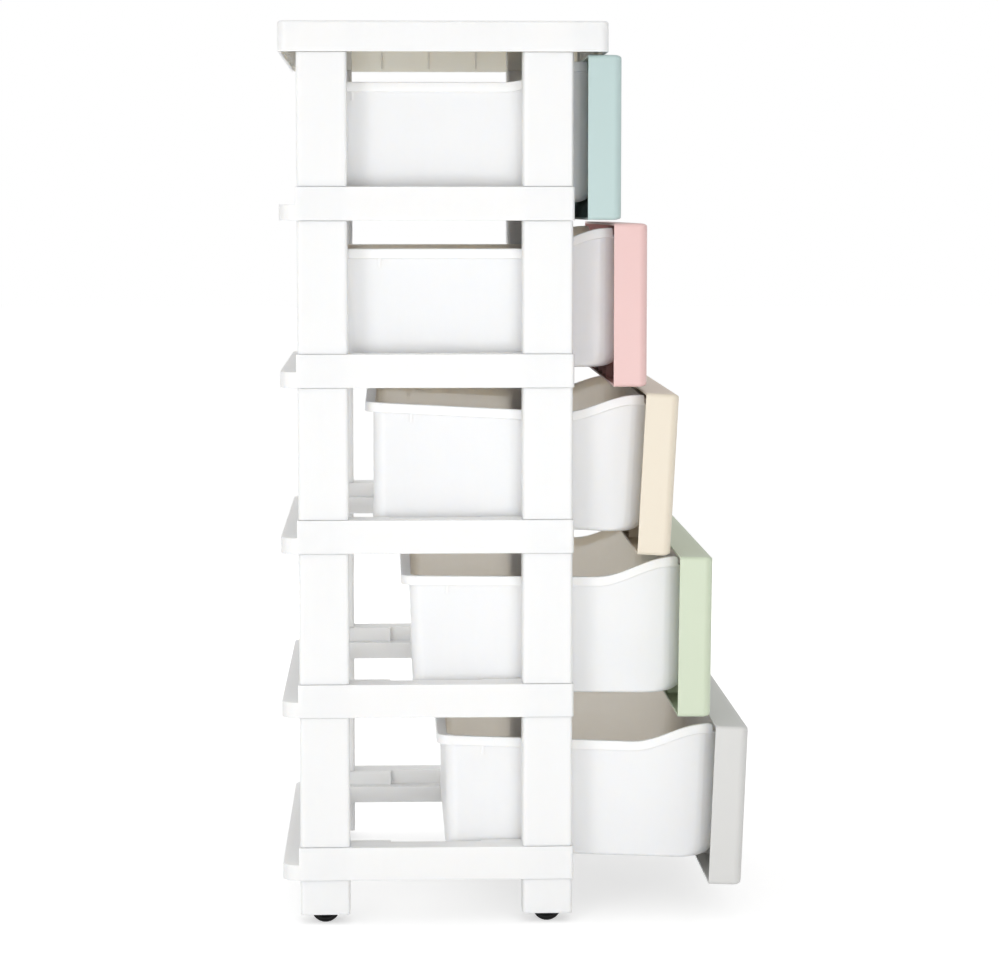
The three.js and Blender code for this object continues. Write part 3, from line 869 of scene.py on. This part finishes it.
def hang(piece, drawer, height):
    """Pull a drawer's piece out of its tier and let it droop about its tipping line."""
    only(piece)
    for place, turn in (
        ((0, -drawer["opening"] - drawer["tip"], -TUB_BASE), 0),
        ((0, 0, 0), math.radians(drawer["droop"])),
        ((0, drawer["tip"], height + TUB_BASE), 0),
    ):
        piece.location = place
        piece.rotation_euler = (turn, 0, 0)
        bpy.ops.object.transform_apply(location=True, rotation=True, scale=True)
    return piece


for tier, (drawer, height) in enumerate(zip(DRAWERS, shelf_heights), 1):
    piece = hang(copy_of(tub, f"tub_{tier}"), drawer, height)
    settle(piece, f"drawer_tub_{tier}", f"drawer_{tier}", "tub_white")
bpy.data.objects.remove(tub)

# %% [markdown]
# Each coloured front is a shallow box, open at the back, with broad round sides and a shallower round
# above and below. Each round is a few rings along a quarter ellipse, so one function gives the measures
# of a ring.

# %% Rings of the drawer front
FRONT_HALF = 239
FRONT_LOW = 0.6
FRONT_HIGH = 173.1
FRONT_BACK = -147.5
FRONT_FACE = -183
FRONT_WALL = 2.5
FACE_CORNER = 4
SIDE_ROUND = 9
TOP_ROUND = 3
ROUND_STEPS = 8
FRONT_EDGE = 0.6

middle_z = (FRONT_LOW + FRONT_HIGH) / 2
half_z = (FRONT_HIGH - FRONT_LOW) / 2
front = sheet("front_model", (-FRONT_HALF, -half_z), (FRONT_HALF, half_z), 0)
front.rotation_euler = (math.pi / 2, 0, 0)
front.location = (0, FRONT_BACK, middle_z)
bpy.ops.object.transform_apply(location=True, rotation=True, scale=True)


def front_ring(angle, wall):
    """Half sizes and place of a ring on the front's rounded skin, or a wall inside it."""
    turn = math.radians(angle)
    side = SIDE_ROUND - wall
    top = max(TOP_ROUND - wall, 0.5)
    return {
        "x": FRONT_HALF - wall - side * (1 - math.cos(turn)),
        "z": half_z - wall - top * (1 - math.cos(turn)),
        "y": FRONT_FACE + wall + side * (1 - math.sin(turn)),
    }


def step_forward(old, new):
    """Extrude the selected face and bring its ring to new measures."""
    bpy.ops.mesh.extrude_region_move(TRANSFORM_OT_translate={"value": (0, new["y"] - old["y"], 0)})
    scale = (new["x"] / old["x"], 1, new["z"] / old["z"])
    bpy.ops.transform.resize(value=scale, center_override=(0, new["y"], middle_z))
    return new


print("front", 2 * FRONT_HALF, "mm wide and", FRONT_HIGH - FRONT_LOW, "mm high")

# %% [markdown]
# An upright rectangle is extruded forwards, and its last rings shrink to make the rounds. The same rings,
# a wall's thickness further in, are then extruded from the back and make the hollow.

# %% Skin and hollow of the drawer front
edit(front)
choose("VERT", lambda place, _: True)
bpy.ops.mesh.bevel(offset=FACE_CORNER, segments=5, affect="VERTICES")
bpy.ops.mesh.select_mode(type="FACE")
bpy.ops.mesh.select_all(action="SELECT")
angles = [90 * step / ROUND_STEPS for step in range(ROUND_STEPS + 1)]
ring = {"x": FRONT_HALF, "z": half_z, "y": FRONT_BACK}
for angle in angles:
    ring = step_forward(ring, front_ring(angle, 0))
choose("FACE", lambda place, normal: near(place.y, FRONT_BACK))
bpy.ops.mesh.inset(thickness=FRONT_WALL, depth=0)
ring = {"x": FRONT_HALF - FRONT_WALL, "z": half_z - FRONT_WALL, "y": FRONT_BACK}
for angle in angles:
    ring = step_forward(ring, front_ring(angle, FRONT_WALL))
close()
soften(front, FRONT_EDGE)
print("front shell of", len(front.data.polygons), "faces")

# %% [markdown]
# Four bosses in the hollow reach back to the tub. Thin upright ribs keep the broad plate flat, and each
# is deeper at its foot, which is what shows below a drawer that stands open. The ribs are cut across
# twice, and the lowest part of their back edge is pulled out, so a slanting step is left above it.

# %% Bosses and ribs
BOSS_PLACES = [(x, z) for x in (-130, 130) for z in (45, 120)]
BOSS_HALF = 7
BOSS_END = -160.8
BOSS_EDGE = 0.5
STIFFENERS = [side * x for side in (-1, 1) for x in (30, 90)]
STIFFENER_HALF = 0.8
STIFFENER_BACK = -164.5
GUSSET_SPAN = (13, 26)
GUSSET_REACH = 14.5

for x, z in BOSS_PLACES:
    low = (x - BOSS_HALF, FRONT_FACE + FRONT_WALL / 2, z - BOSS_HALF)
    boss = block("boss", low, (x + BOSS_HALF, BOSS_END, z + BOSS_HALF))
    soften(boss, BOSS_EDGE)
    combine(front, boss, "UNION")
for x in STIFFENERS:
    low = (x - STIFFENER_HALF, FRONT_FACE + FRONT_WALL / 2, FRONT_LOW + FRONT_WALL / 2)
    stiffener = block("stiffener", low, (x + STIFFENER_HALF, STIFFENER_BACK, FRONT_HIGH - FRONT_WALL / 2))
    edit(stiffener)
    for height in GUSSET_SPAN:
        bpy.ops.mesh.select_all(action="SELECT")
        bpy.ops.mesh.bisect(plane_co=(0, 0, height), plane_no=(0, 0, 1))
    choose("VERT", lambda place, _: near(place.y, STIFFENER_BACK) and place.z < GUSSET_SPAN[0] + 0.1)
    bpy.ops.transform.translate(value=(0, GUSSET_REACH, 0))
    close()
    combine(front, stiffener, "UNION")
shade(front)
print("front with", len(BOSS_PLACES), "bosses and", len(STIFFENERS), "ribs")

# %% [markdown]
# The hollow takes the second finish, a painted shade. A face belongs to it when it lies within the inner
# walls, and either looks back, or looks inward, or belongs to a boss or rib away from the sides.

# %% Paint shade in the hollow and hang the five fronts
LOOKS_BACK = 0.3
HOLLOW_LOOKS_IN = -5


def is_hollow(place, way):
    """True on the faces that look into the hollow of a front."""
    wall = FRONT_WALL - SKIN
    within = abs(place.x) < FRONT_HALF - wall and abs(place.z - middle_z) < half_z - wall
    outward = place.x * way.x + (place.z - middle_z) * way.z
    looks = way.y > LOOKS_BACK or outward < HOLLOW_LOOKS_IN or abs(place.x) < FRONT_HALF - SIDE_ROUND
    return within and place.y > FRONT_FACE + wall and looks


print("front hollow of", add_painted_inside(front, is_hollow), "faces")

for tier, (drawer, height) in enumerate(zip(DRAWERS, shelf_heights), 1):
    piece = hang(copy_of(front, f"front_{tier}"), drawer, height)
    settle(piece, f"drawer_front_{tier}", f"drawer_{tier}", drawer["colour"] + "_plastic")
bpy.data.objects.remove(front)

# %% [markdown]
# Every surface here is moulded plastic, apart from four steel pins. Up close such plastic is never one
# flat colour: the pigment clouds a little, the skin has a fine orange peel, and the gloss wanders with
# both. Shader maths reads best as plain sums, so a small class lets Python's own signs add the Math
# nodes, and one recipe class adds any other node from its type, its settings and what its sockets hold.

# %% Write shader sums in Python
class Measure:
    """A number that changes over a surface."""

    def __init__(self, recipe, socket):
        self.recipe = recipe
        self.socket = socket

    def math(self, operation, *others):
        """One Math node on this number and up to two more."""
        values = dict(enumerate((self, *others)))
        return self.recipe.measure("ShaderNodeMath", {"operation": operation}, values)

    def __add__(self, other):
        return self.math("ADD", other)

    def __sub__(self, other):
        return self.math("SUBTRACT", other)

    def __rsub__(self, other):
        return self.math("MULTIPLY", -1).math("ADD", other)

    def __mul__(self, other):
        return self.math("MULTIPLY", other)

    __radd__ = __add__
    __rmul__ = __mul__


class Recipe:
    """The nodes of one material or of the world."""

    def __init__(self, owner):
        owner.use_nodes = True
        self.owner = owner
        self.tree = owner.node_tree
        self.tree.nodes.clear()

    def node(self, kind, settings=None, values=None):
        """Add a node, set it up, and then fill or link its sockets by name or number."""
        made = self.tree.nodes.new(kind)
        for name, value in (settings or {}).items():
            setattr(made, name, value)
        for key, value in (values or {}).items():
            if isinstance(value, Measure):
                value = value.socket
            if isinstance(value, bpy.types.NodeSocket):
                self.tree.links.new(value, made.inputs[key])
            else:
                made.inputs[key].default_value = value
        return made

    def measure(self, kind, settings=None, values=None, output=0):
        """The number that a new node gives."""
        return Measure(self, self.node(kind, settings, values).outputs[output])

    def place(self, stretch=(1, 1, 1)):
        """Object coordinates in metres, stretched along the axes where a pattern needs it."""
        where = self.node("ShaderNodeTexCoord").outputs["Object"]
        return self.node("ShaderNodeMapping", values={"Vector": where, "Scale": stretch}).outputs[0]

    def noise(self, where, scale, detail=2, roughness=0.5):
        """Soft random clouds between 0 and 1, a given number of them to the metre."""
        values = {"Vector": where, "Scale": scale, "Detail": detail, "Roughness": roughness}
        return self.measure("ShaderNodeTexNoise", values=values)

    def blend(self, mask, first, second):
        """A colour that goes from the first to the second as the mask goes from 0 to 1."""
        settings = {"data_type": "RGBA", "clamp_factor": True}
        return self.node("ShaderNodeMix", settings, {0: mask, 6: (*first, 1), 7: (*second, 1)}).outputs[2]

    def bump(self, height, strength, distance):
        """A surface normal that follows a small height."""
        values = {"Height": height, "Strength": strength, "Distance": distance}
        return self.node("ShaderNodeBump", values=values).outputs[0]

    def surface(self, shader, output="ShaderNodeOutputMaterial"):
        """Finish the recipe with what it shows."""
        self.node(output, values={"Surface": shader.outputs[0]})
        return self.owner


def shade_of(colour, factor):
    """A colour made lighter or darker."""
    return tuple(min(channel * factor, 1) for channel in colour)


print("recipes ready")

# %% [markdown]
# All the mouldings are polypropylene with a satin skin. Light goes a few millimetres into it before it
# comes out, so the recipe has a soft depth besides its clouds, its fine peel and its gloss. The drag of
# the melt leaves faint upright lines on tall walls: that is the same noise, stretched along Z.
#
# The insides of tubs and lid have a finish of their own, with painted warm light: its colour is warmer than
# the outside, and under the lid lighter too, for the light that has come through the thin plastic. Light
# also reaches deeper through it, so a far wall glows a little from the light behind it, as thin white
# plastic does.

# %% Moulded plastic
CLOUDS = 14
PEEL = 650
DRAG = 130
DRAG_STRETCH = (1, 1, 0.06)
SKIN_RELIEF = 0.00012
SOFT_TINT = (1, 0.94, 0.86)


def moulded(name, colour, gloss, softness=1.0, depth=0.004, clouding=0.02, drag=0.3):
    """Satin plastic: its colour clouds and drags a little, and its gloss follows the peel of its skin."""
    recipe = Recipe(bpy.data.materials.new(name))
    clouds = recipe.noise(recipe.place(), CLOUDS, 3, 0.55)
    peel = recipe.noise(recipe.place(), PEEL, 2)
    lines = recipe.noise(recipe.place(DRAG_STRETCH), DRAG, 2)
    mask = clouds * (1 - drag) + lines * drag
    values = {
        "Base Color": recipe.blend(mask, shade_of(colour, 1 - clouding), shade_of(colour, 1 + clouding)),
        "Roughness": gloss + clouds * 0.08 + peel * 0.06 - 0.07,
        "Normal": recipe.bump(peel + lines * 0.5 + clouds, 0.35, SKIN_RELIEF),
        "Subsurface Weight": softness,
        "Subsurface Radius": SOFT_TINT,
        "Subsurface Scale": depth,
    }
    return recipe.surface(recipe.node("ShaderNodeBsdfPrincipled", values=values))


FRAME_WHITE = (0.85, 0.85, 0.845)
TUB_WHITE = (0.93, 0.925, 0.915)
# The tub and lid insides get painted warm light, for the light that comes through the thin walls.
TUB_PAINTED_WARM_LIGHT = (0.94, 0.86, 0.79)
LID_PAINTED_WARM_LIGHT = (0.93, 0.9, 0.83)
frame_white = moulded("frame_white_satin", FRAME_WHITE, 0.45, softness=0.75, depth=0.006)
tub_white = moulded("tub_white_satin", TUB_WHITE, 0.42, clouding=0.01, drag=0.6)
tub_painted_warm_light = moulded("tub_white_painted_warm_light", TUB_PAINTED_WARM_LIGHT, 0.5, depth=0.008, clouding=0.015, drag=0.6)
lid_painted_warm_light = moulded("lid_white_painted_warm_light", LID_PAINTED_WARM_LIGHT, 0.5, depth=0.006, clouding=0.015)
finishes = {"frame_white": [frame_white, lid_painted_warm_light], "tub_white": [tub_white, tub_painted_warm_light]}
print("white plastics:", [finish.name for pair in finishes.values() for finish in pair])

# %% [markdown]
# The five fronts are the same plastic with a pastel pigment. Inside the hollow of a front the light
# bounces from wall to wall, and each bounce deepens the colour, more than a few sampled paths show. So that
# shade is painted: the hollow has a finish of its own, whose colour is the outer one raised to a power above
# one. The fronts let less light through than the white pieces: a pastel pigment hides more.

# %% Pastel fronts
PASTELS = {
    "mint": (0.475, 0.602, 0.59),
    "pink": (0.755, 0.52, 0.5),
    "cream": (0.75, 0.68, 0.56),
    "green": (0.585, 0.655, 0.505),
    "grey": (0.64, 0.638, 0.623),
}
HOLLOW_SHADE_POWER = 1.3
FRONT_SOFTNESS = 0.3
FRONT_DEPTH = 0.0015
for name, colour in PASTELS.items():
    # The hollow's colour is painted shade: the outer colour raised to a power above one.
    deeper = tuple(channel**HOLLOW_SHADE_POWER for channel in colour)
    outside = moulded(name + "_satin", colour, 0.42, FRONT_SOFTNESS, FRONT_DEPTH)
    hollow = moulded(name + "_hollow", deeper, 0.5, FRONT_SOFTNESS, FRONT_DEPTH)
    finishes[name + "_plastic"] = [outside, hollow]
print("pastels:", ", ".join(PASTELS))

# %% [markdown]
# The rollers are black and turned or moulded round their pins, so fine rings run round each cheek. A ring
# is a wave of the distance to the pin: in the bump it is a groove, and in the colour each crest is painted a
# little lighter, a painted highlight. Two pins stand on each side at one height, the same distance from the
# middle, so folding the tower along that middle lets one sum find the nearest pin for all four rollers.

# %% Black rollers
RING_PITCH = 0.0019
BLACK_LOW = (0.0025, 0.0025, 0.0028)
# The paler black is the painted highlight on the crests of the rings.
RING_HIGHLIGHT_BLACK = (0.022, 0.022, 0.023)
PIN_HEIGHT = WHEEL_RADIUS * MM

recipe = Recipe(bpy.data.materials.new("roller_black_rings"))
apart = recipe.node("ShaderNodeSeparateXYZ", values={0: recipe.place()})
along = (Measure(recipe, apart.outputs["Y"]) - shift_y * MM).math("ABSOLUTE") - POST_Y * MM
rise = Measure(recipe, apart.outputs["Z"]) - PIN_HEIGHT
reach = (along * along + rise * rise).math("SQRT")
rings = (reach * (2 * math.pi / RING_PITCH)).math("SINE") * 0.5 + 0.5
# This noise varies the gloss and the bump, and breaks up the painted highlight on the rings.
dust_and_sheen = recipe.noise(recipe.place(), 900, 3)
black = {
    "Base Color": recipe.blend(rings * dust_and_sheen, BLACK_LOW, RING_HIGHLIGHT_BLACK),
    "Roughness": 0.36 + dust_and_sheen * 0.2,
    "Normal": recipe.bump(rings + dust_and_sheen * 0.3, 0.5, 0.0002),
    "Specular IOR Level": 0.12,
}
finishes["roller_black"] = [recipe.surface(recipe.node("ShaderNodeBsdfPrincipled", values=black))]
print("rings every", RING_PITCH / MM, "mm round pins", PIN_HEIGHT / MM, "mm above the floor")

# %% [markdown]
# The pins are short lengths of drawn steel wire. Drawing leaves fine scratches along the wire, so the
# noise is stretched along X, and it varies the gloss and the colour. The pins are the frame's own nodes:
# their shape is right, and only their finish is made here.

# %% Drawn steel pins
STEEL_DARK = (0.42, 0.41, 0.4)
STEEL_PALE = (0.66, 0.66, 0.67)
ALONG_WIRE = (0.04, 1, 1)

recipe = Recipe(bpy.data.materials.new("pin_drawn_steel"))
scratches = recipe.noise(recipe.place(ALONG_WIRE), 2600, 3, 0.6)
stains = recipe.noise(recipe.place(), 160, 2)
steel = {
    "Base Color": recipe.blend(scratches * 0.6 + stains * 0.4, STEEL_DARK, STEEL_PALE),
    "Metallic": 1.0,
    "Roughness": 0.22 + scratches * 0.2 + stains * 0.08,
    "Normal": recipe.bump(scratches, 0.4, 0.00003),
}
drawn_steel = recipe.surface(recipe.node("ShaderNodeBsdfPrincipled", values=steel))
print("pins in", drawn_steel.name)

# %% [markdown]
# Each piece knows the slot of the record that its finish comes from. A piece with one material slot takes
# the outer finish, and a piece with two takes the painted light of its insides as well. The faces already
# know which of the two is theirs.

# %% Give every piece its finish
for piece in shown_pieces():
    wanted = [drawn_steel] if piece.name.startswith("axle_") else finishes[piece["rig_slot"]]
    if not piece.data.materials:
        piece.data.materials.append(None)
    for number in range(len(piece.data.materials)):
        piece.data.materials[number] = wanted[number]

# %% [markdown]
# The picture looks square at the side of the tower, from a little above its middle, through a long lens
# far away. The place and the turn were worked out from edges whose real sizes are known, and are kept as
# plain numbers.

# %% Camera
CAMERA_PLACE = (-3.4098, 0.13341, 0.76388)
CAMERA_DIP = 0.0926263
CAMERA_TURN = -0.0365037
FOCAL_LENGTH = 108.33

bpy.ops.object.select_all(action="DESELECT")
bpy.ops.object.camera_add(location=CAMERA_PLACE)
camera = bpy.context.object
camera.rotation_euler = (math.pi / 2 - CAMERA_DIP, 0, CAMERA_TURN - math.pi / 2)
camera.data.lens = FOCAL_LENGTH
camera.data.sensor_width = 36
bpy.context.scene.camera = camera
print("camera stands", round(-CAMERA_PLACE[0], 2), "m from the middle of the tower")

# %% [markdown]
# The floor is a sheet of studio paper that runs on past the horizon. To the camera it shows nearly white
# and keeps the soft shadow under the tower. To the light it is an ordinary pale floor, so it throws back
# no more light than paper does. Light Path tells the two apart. Mirror-like glints see what the camera
# sees.

# %% Floor
FLOOR_SIZE = 40
PAPER_GLOW = 0.55
PAPER_SHADE = 0.65
PAPER_BOUNCE = 0.9

bpy.context.scene.view_settings.view_transform = "Standard"
bpy.ops.mesh.primitive_plane_add(size=FLOOR_SIZE)
floor = bpy.context.object
floor.name = "studio_floor"
floor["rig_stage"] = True

recipe = Recipe(bpy.data.materials.new("studio_paper"))
grain = recipe.noise(recipe.place(), 300, 2) * 0.01
level = {shown: grain + (shown - 0.005) for shown in (PAPER_SHADE, PAPER_BOUNCE)}
grey = {
    shown: recipe.node("ShaderNodeCombineColor", values={0: value, 1: value, 2: value}).outputs[0]
    for shown, value in level.items()
}
paper = recipe.node("ShaderNodeBsdfDiffuse", values={"Color": grey[PAPER_SHADE]})
glow = recipe.node("ShaderNodeEmission", values={"Strength": PAPER_GLOW})
shown = recipe.node("ShaderNodeAddShader", values={0: paper.outputs[0], 1: glow.outputs[0]})
bounce = recipe.node("ShaderNodeBsdfDiffuse", values={"Color": grey[PAPER_BOUNCE]})
path = recipe.node("ShaderNodeLightPath")
seen = Measure(recipe, path.outputs["Is Camera Ray"]).math("MAXIMUM", path.outputs["Is Glossy Ray"])
both = recipe.node("ShaderNodeMixShader", values={0: seen, 1: bounce.outputs[0], 2: shown.outputs[0]})
floor.data.materials.append(recipe.surface(both))
print("floor of", FLOOR_SIZE, "m")

# %% [markdown]
# A pale room and three lamps light the tower. The room is a little dimmer in front of the drawers, which
# lets the rounded edge of each front turn darker. A tall soft box stands towards the rear on the camera's
# side, and a small one stands low and nearer, so the lowest tiers stay as bright as the upper ones. The
# posts throw their soft shadows on the tubs. A wide low lamp behind the tower shines through the thin
# plastic of the tubs and the lid, so their far walls glow. The camera sees the room as plain white paper,
# and no lamp at all.

# %% World and lamps
AMBIENT = 0.74
FRONT_DIMMING = 0.1
AIM = Vector((0, 0, 0.4))
LAMPS = {
    "tall_box": {"place": (-3.5, 1.9, 0.65), "size": (1.1, 1.6), "power": 32},
    "low_box": {"place": (-2.5, -0.4, 0.25), "size": (0.8, 0.8), "power": 14.5},
    "glow_behind": {"place": (3.0, 0.3, 0.62), "size": (2.4, 0.7), "power": 33},
}

world = bpy.data.worlds.new("studio")
bpy.context.scene.world = world
recipe = Recipe(world)
around = recipe.node("ShaderNodeTexCoord").outputs["Generated"]
direction = recipe.node("ShaderNodeSeparateXYZ", values={0: around})
level = Measure(recipe, direction.outputs["Y"]) * (AMBIENT * FRONT_DIMMING) + AMBIENT
seen = recipe.measure("ShaderNodeLightPath")
room = {"Color": (1, 1, 1, 1), "Strength": level.math("MAXIMUM", seen)}
recipe.surface(recipe.node("ShaderNodeBackground", values=room), "ShaderNodeOutputWorld")

for name, lamp in LAMPS.items():
    place = Vector(lamp["place"])
    bpy.ops.object.light_add(type="AREA", location=place)
    light = bpy.context.object
    light.name = name
    light.data.shape = "RECTANGLE"
    light.data.size, light.data.size_y = lamp["size"]
    light.data.energy = lamp["power"]
    light.rotation_euler = (AIM - place).to_track_quat("-Z", "Y").to_euler()
    light.visible_camera = False
    light.visible_glossy = name != "glow_behind"
print("lamps:", ", ".join(LAMPS))

# %% Measure and finish
low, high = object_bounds()
